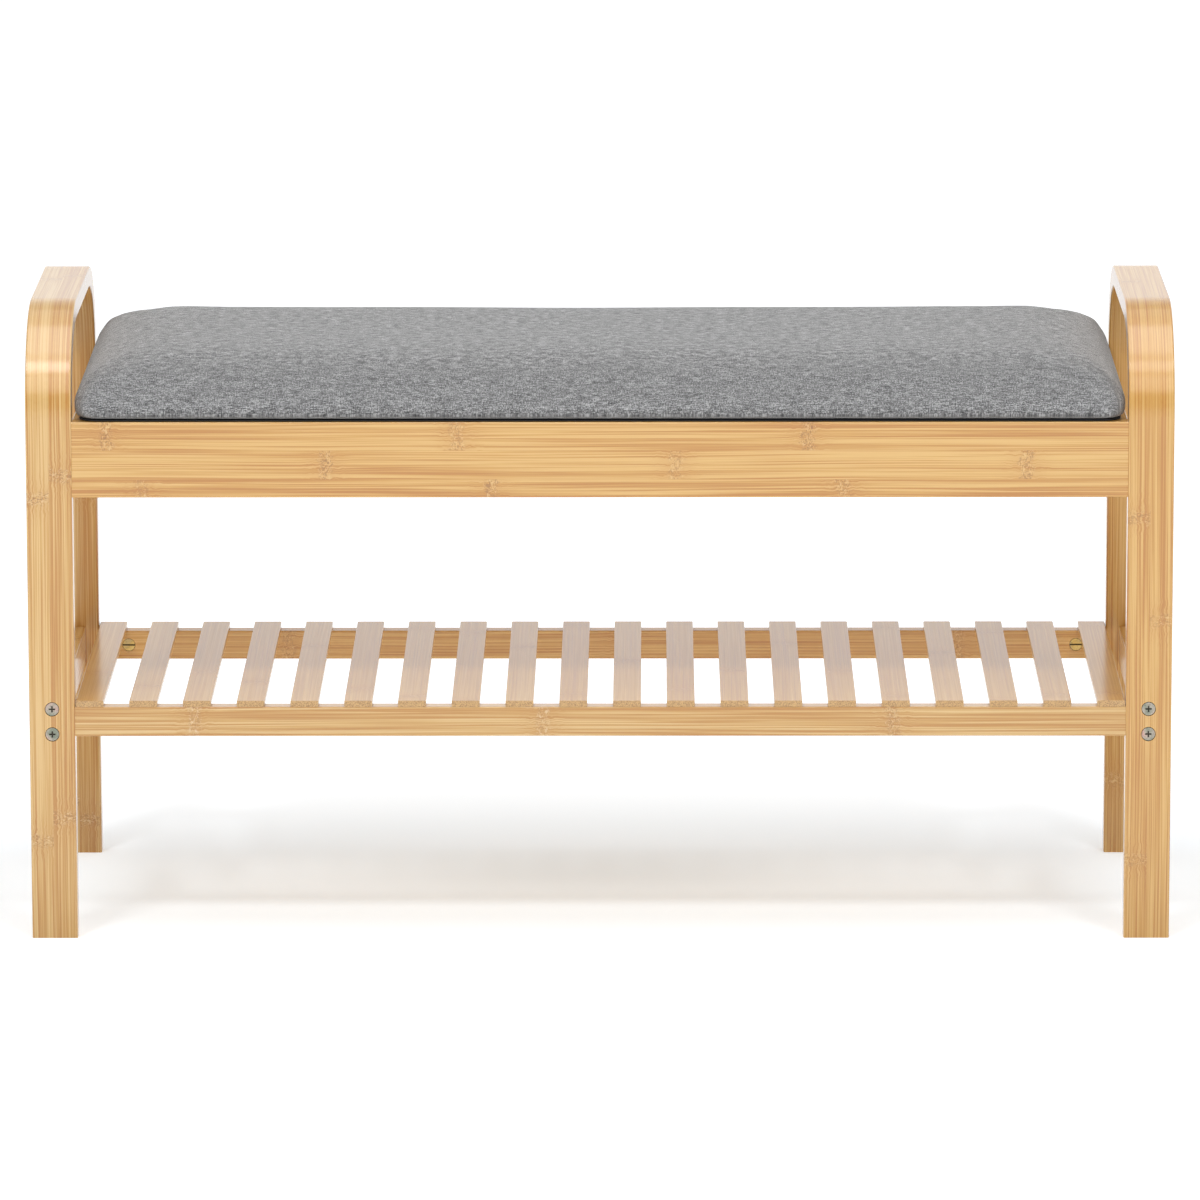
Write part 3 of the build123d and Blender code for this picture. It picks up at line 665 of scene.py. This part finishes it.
def side_shift(height, distance, sway):
    """How far the cover's sides move outwards: a soft roll low down, drawn in above it."""
    side = np.clip(1 + distance / SIDE_BAND, 0.0, 1.0)
    shift = np.zeros_like(height)
    for depth, middle, swaying in (ROLL, HOLLOW):
        shift += depth * hump(height, middle + swaying * sway, BULGE_SPREAD)
    shift *= side * (1 + 0.35 * sway)
    # The lowest part is pulled tight round the board's edge.
    tight = np.clip(1.6 - height / PAD_EASING, 0.0, 1.0) * (distance > -EDGE_BAND)
    under = np.clip(PAD_EASING - height, 0.0, PAD_EASING)
    hem = np.sqrt(PAD_EASING ** 2 - under ** 2) - PAD_EASING - 0.1 * MM
    shift = shift * (1 - tight) + (hem - distance) * tight
    beside_board = (height < BOARD_TOP) & (distance > -EDGE_BAND)
    shift = np.where(beside_board, np.maximum(shift, hem - distance), shift)
    depth, middle, spread = END_ROLL
    return shift, side * depth * hump(height, middle, spread)


def dress(pad):
    """The cloth's own shape: rolls and hollows on its sides and an uneven top."""
    points = read_points(pad.data)
    x, y, z = points.T
    height = z - PAD_BOTTOM
    distance, out_x, out_y = outline(x, y)
    shift, end_roll = side_shift(height, distance, waves(x, y, SWAY))
    points[:, 0] += out_x * (shift + end_roll)
    points[:, 1] += out_y * shift
    top = np.clip(height / TOP_RISE - 0.5, 0.0, 1.0)
    saddle = SADDLE_HEIGHT * np.clip(np.abs(x) / (PAD_END - SADDLE_END), 0.0, 1.0) ** 2
    points[:, 2] += top * (saddle + RIPPLE_HEIGHT * waves(x, y, RIPPLE))
    limit = RIGHT_ARCH_LOW.x - ARCH_GAP
    points[:, 0] = np.clip(points[:, 0], -limit, limit)
    points[:, 1] = np.minimum(points[:, 1], COVER_HIGH.y + REAR_OVERHANG)
    points[:, 2] = np.maximum(points[:, 2], PAD_BOTTOM)
    write_points(pad.data, points)


def clear_leaves(pad):
    """Lifts the underside over the hinge leaves screwed below it."""
    points = read_points(pad.data)
    for name in ("hinge_left_lid_leaf", "hinge_right_lid_leaf"):
        low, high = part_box(name)
        over = ((points[:, 0] > low.x - LEAF_ROOM) & (points[:, 0] < high.x + LEAF_ROOM)
                & (points[:, 1] > low.y - LEAF_ROOM))
        points[over, 2] = np.maximum(points[over, 2], COVER_LOW.z + LEAF_LIFT)
    write_points(pad.data, points)


def lay_cloth(pad):
    """Gives each point its place on the flat cloth, which runs on over the pad's edges."""
    points = read_points(pad.data)
    drop = COVER_HIGH.z - points[:, 2]
    distance, out_x, out_y = outline(points[:, 0], points[:, 1])
    along = np.abs(out_x) > np.abs(out_y)
    near = np.clip(1 + distance / CLOTH_BAND, 0.0, 1.0)
    place = np.zeros_like(points)
    place[:, 0] = points[:, 0] + np.sign(points[:, 0]) * drop * near * along
    place[:, 1] = points[:, 1] + np.sign(out_y) * drop * near * ~along
    attribute = pad.data.attributes.new("cloth", "FLOAT_VECTOR", "POINT")
    attribute.data.foreach_set("vector", place.ravel())


def seat_pad(material):
    """The upholstered pad, which stands for the plain foam and cover of the CAD model."""
    pad = pad_shape()
    remeshed(pad, PAD_VOXEL)
    settle(pad)
    dress(pad)
    pad.modifiers.new("finer", "SUBSURF").levels = 1
    apply_modifiers(pad)
    clear_leaves(pad)
    lay_cloth(pad)
    pad.data.shade_smooth()
    pad.data.materials.clear()
    pad.data.materials.append(material)
    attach(pad, "seat_lid")
    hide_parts("seat_foam", "seat_cover")


# ---- Materials of the CAD nodes -----------------------------------------------------------------------

def paint(material, *names):
    """Puts one material in every slot of the named nodes."""
    for name in names:
        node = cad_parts[name]
        node.data.materials.clear()
        node.data.materials.append(material)


ARCH_STRIP = 18 * MM            # widths of the bamboo strips that each kind of piece is glued from
APRON_STRIP = 23 * MM
SIDE_RAIL_STRIP = 16 * MM
RAIL_STRIP = RAIL_HIGH.z - RAIL_LOW.z + 2 * MM
RAIL_START = RAIL_LOW.z - 1 * MM
APRON_STRIPS_SEEN = 2.98        # in the front apron, counted down from its upper edge
ZINC = ((0.52, 0.33, 0.28), (0.40, 0.36, 0.30), (0.22, 0.24, 0.19))
YELLOW_ZINC = ((0.62, 0.44, 0.16), (0.56, 0.38, 0.12), (0.48, 0.36, 0.17))
NICKEL = ((0.62, 0.60, 0.57), (0.66, 0.65, 0.62), (0.58, 0.57, 0.55))
BRIGHT_WIRE = ((0.60, 0.60, 0.60), (0.68, 0.68, 0.68), (0.55, 0.55, 0.56))


def paint_wood():
    paint(bamboo("bamboo_left_arch", "bent", ARCH_STRIP, ARCH_LOW.x, seed=3.0), "left_arch_frame")
    paint(bamboo("bamboo_right_arch", "bent", ARCH_STRIP, RIGHT_ARCH_LOW.x, seed=47.0, warmth=1.3),
          "right_arch_frame")
    front_start = APRON_HIGH.z - APRON_STRIPS_SEEN * APRON_STRIP
    paint(bamboo("bamboo_front_apron", "X", APRON_STRIP, front_start, seed=12.0, warmth=1.2),
          "front_apron")
    paint(bamboo("bamboo_rear_apron", "X", APRON_STRIP, APRON_LOW.z, seed=71.0), "rear_apron")
    paint(bamboo("bamboo_end_boards", "Y", APRON_STRIP, APRON_LOW.z, seed=5.0),
          "left_end_board", "right_end_board")
    paint(bamboo("bamboo_front_rail", "X", RAIL_STRIP, RAIL_START, seed=23.0, warmth=-0.7),
          "front_shelf_rail")
    # The rear rail's stronger warmth is painted shade: it deepens the rail's colour as the shade under
    # the seat and slats does.
    paint(bamboo("bamboo_rear_rail_painted_shade", "X", RAIL_STRIP, RAIL_START, seed=88.0, lacquer=0.6, warmth=1.5),
          "rear_shelf_rail")
    paint(bamboo("bamboo_side_rails", "Y", SIDE_RAIL_STRIP, RAIL_LOW.z, seed=61.0),
          "left_side_rail", "right_side_rail")
    slats = sorted(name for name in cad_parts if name.startswith("slat_") and name[-1].isdigit())
    first_edge = -SLAT_PITCH * len(slats) / 2
    paint(bamboo("bamboo_slats", "slat", SLAT_PITCH, first_edge, seed=9.0, lacquer=0.75, warmth=0.25,
                 figure=0.5), *slats)
    paint(plywood("veneered_sheet", (0.70, 0.50, 0.27), (0.52, 0.33, 0.15)), "tray_floor")
    paint(plywood("plywood", (0.60, 0.45, 0.27), (0.42, 0.28, 0.15)), "seat_board", "end_board_dowels")


def paint_metal():
    paint(plated("zinc_screws", ZINC, 0.3, ("Y", ARCH_HIGH.y)), "side_rail_screws")
    paint(plated("zinc_bolts", ZINC, 0.3, ("X", -ARCH_LOW.x)), "shelf_rail_bolts", "apron_bolts")
    paint(plated("yellow_shelf_nuts", YELLOW_ZINC, 0.28, ("Y", -RAIL_HIGH.y)), "shelf_barrel_nuts")
    paint(plated("yellow_apron_nuts", YELLOW_ZINC, 0.28, ("Y", -APRON_HIGH.y)), "apron_barrel_nuts")
    hinges = [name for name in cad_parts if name.startswith("hinge_")]
    paint(plated("nickel", NICKEL, 0.3), *hinges, "frame_leaf_screws", "lid_leaf_screws")
    paint(plated("wire", BRIGHT_WIRE, 0.35), "slat_brads", "cover_staples")


# ---- Studio ------------------------------------------------------------------------------------------

CAMERA_PLACE = Vector((0.03966, -6.78246, 1.58150))
CAMERA_DOWN = 11.1785           # degrees below the horizon
CAMERA_LEFT = 0.3427            # degrees to the left of +Y
CAMERA_ROLL = -0.0927           # degrees about its own axis
CAMERA_LENS = 257.72            # millimetres, on a sensor of the width below
CAMERA_SENSOR = 36.0
FRONT_GLOW = 0.14               # brightness of the surroundings on the camera's side
BACK_GLOW = 1.05                # behind the bench
CEILING_GLOW = 0.42             # and overhead
FLOOR_EDGE = 20.0               # half the studio floor's length
FLOOR_STOPS = [(0.3, (0.765, 0.785, 0.805)), (0.7, (0.785, 0.805, 0.825))]
SHADOW_LENGTH = 1.3             # the part of the floor that the bench keeps light from
SHADOW_DEPTH = 0.5
SHADOW_Y = 0.07
SHADOW_TINT = (0.67, 0.74, 0.80)
SHADOW_TINT_FULL = 0.10         # metres from its middle to where its tint starts to fade
SHADOW_TINT_END = 0.45
FLOOR_MOTTLE = (3, 3, 3)        # features per metre
# The floor's own glow grows with the distance from the middle of the shadow, in metres: from, to, glow
# there and glow here, and whether it grows smoothly.
SHADOW_GLOWS = ((0.0, 0.12, 0.32, 0.45, True),
                (0.19, 0.50, 0.0, 0.09, False),
                (0.6, 2.0, 0.0, 0.10, False))
AHEAD_GLOW = (-0.18, -0.40, 0.0, 0.27)      # the same over Y, in front of the bench


def camera():
    data = bpy.data.cameras.new("camera")
    data.lens = CAMERA_LENS
    data.sensor_width = CAMERA_SENSOR
    data.clip_end = 100.0
    made = bpy.data.objects.new("camera", data)
    bpy.context.scene.collection.objects.link(made)
    turn = Matrix.Rotation(math.radians(CAMERA_LEFT), 4, "Z")
    tilt = Matrix.Rotation(math.radians(90 - CAMERA_DOWN), 4, "X")
    roll = Matrix.Rotation(math.radians(CAMERA_ROLL), 4, "Z")
    made.matrix_world = Matrix.Translation(CAMERA_PLACE) @ turn @ tilt @ roll
    bpy.context.scene.camera = made


def softbox(name, place, target, width, height, power, only_gloss=False):
    """A rectangular light that looks at a point, doesn't show itself and may add to reflections only."""
    data = bpy.data.lights.new(name, "AREA")
    data.shape = "RECTANGLE"
    data.size = width
    data.size_y = height
    data.energy = power
    made = bpy.data.objects.new(name, data)
    bpy.context.scene.collection.objects.link(made)
    made.location = place
    made.rotation_euler = (Vector(target) - Vector(place)).to_track_quat("-Z", "Y").to_euler()
    made.visible_camera = False
    made.visible_diffuse = not only_gloss


def backdrop():
    """Surroundings that are white behind the bench, dimmer towards the camera and dim overhead."""
    world = bpy.data.worlds.new("studio")
    world.use_nodes = True
    tree = world.node_tree
    direction = tree.nodes.new("ShaderNodeTexCoord")
    split = tree.nodes.new("ShaderNodeSeparateXYZ")
    tree.links.new(direction.outputs["Generated"], split.inputs[0])
    towards_back = tree.nodes.new("ShaderNodeMapRange")
    tree.links.new(split.outputs["Y"], towards_back.inputs["Value"])
    for socket, value in zip(towards_back.inputs[1:5], (-0.6, 0.8, FRONT_GLOW, BACK_GLOW)):
        socket.default_value = value
    upwards = tree.nodes.new("ShaderNodeMapRange")
    tree.links.new(split.outputs["Z"], upwards.inputs["Value"])
    tree.links.new(towards_back.outputs[0], upwards.inputs["To Min"])
    for name, value in (("From Min", 0.35), ("From Max", 0.75), ("To Max", CEILING_GLOW)):
        upwards.inputs[name].default_value = value
    tree.links.new(upwards.outputs[0], tree.nodes["Background"].inputs["Strength"])
    tree.nodes["Background"].inputs["Color"].default_value = (1.0, 1.0, 1.0, 1.0)
    bpy.context.scene.world = world


def studio_floor():
    """A pale floor that is lit up like a backdrop further away from the bench."""
    mesh = bpy.data.meshes.new("studio_floor")
    corners = [(x * FLOOR_EDGE, y * FLOOR_EDGE, 0) for x, y in ((-1, -1), (1, -1), (1, 1), (-1, 1))]
    mesh.from_pydata(corners, [], [(0, 1, 2, 3)])
    floor = bpy.data.objects.new("studio_floor", mesh)
    bpy.context.scene.collection.objects.link(floor)
    graph = Graph("studio_floor")
    point = graph.position()
    colour = graph.ramp(graph.noise(graph.stretched(point, FLOOR_MOTTLE)), FLOOR_STOPS)
    # Distance from the middle of the bench's shadow, in ellipses as long as the bench.
    along = graph.math("POWER", graph.math("MULTIPLY", point[0], SHADOW_DEPTH / SHADOW_LENGTH), 2.0)
    across = graph.math("POWER", graph.math("SUBTRACT", point[1], SHADOW_Y), 2.0)
    away = graph.math("SQRT", graph.math("ADD", along, across))
    tinted = graph.remap(away, SHADOW_TINT_FULL, SHADOW_TINT_END, 1.0, 0.0, smooth=True)
    colour = graph.mix(tinted, colour, SHADOW_TINT)
    glow = graph.remap(point[1], *AHEAD_GLOW, smooth=True)
    for near, far, low, high, smooth in SHADOW_GLOWS:
        glow = graph.math("ADD", glow, graph.remap(away, near, far, low, high, smooth=smooth))
    shade = graph.mix(1.0, (1.0, 1.0, 1.0), graph.vector(glow, glow, glow), blend="MULTIPLY")
    mesh.materials.append(graph.surface(colour, 0.9, specular_ior_level=0.0, emission_strength=1.0,
                                        emission_color=shade))


def studio():
    """The floor, and lights with their place, target, width, height and power in watts."""
    studio_floor()
    softbox("overhead", (0.0, -0.45, 2.6), (0.0, 0.0, 0.2), 2.2, 1.5, 23.0)
    softbox("key_left", (-2.75, -5.3, 7.0), (-0.2, -0.16, 0.25), 1.5, 1.1, 152.0)
    softbox("key_right", (2.75, -5.3, 7.0), (0.2, -0.16, 0.25), 1.5, 1.1, 128.0)
    softbox("front_fill", (0.2, -5.6, 0.9), (0.0, -0.16, 0.15), 3.0, 1.4, 3.0)
    softbox("gloss_top", (0.0, 0.1, 2.8), (0.0, 0.1, 0.45), 3.2, 3.6, 34.0, only_gloss=True)
    softbox("gloss_front", (0.0, -2.6, 1.7), (0.0, -0.15, 0.45), 2.4, 0.9, 16.0, only_gloss=True)
    softbox("gloss_left", (-0.7, -2.4, 2.9), (-0.4, -0.15, 0.45), 1.2, 0.7, 17.0, only_gloss=True)
    softbox("gloss_right", (0.7, -2.4, 2.9), (0.4, -0.15, 0.45), 1.2, 0.7, 8.0, only_gloss=True)
    backdrop()
    bpy.context.scene.view_settings.view_transform = "Standard"


# ---- The scene ---------------------------------------------------------------------------------------

camera()
paint_wood()
paint_metal()
paint(nonwoven("black_nonwoven"), "dust_cover")
seat_pad(linen("grey_linen"))
studio()
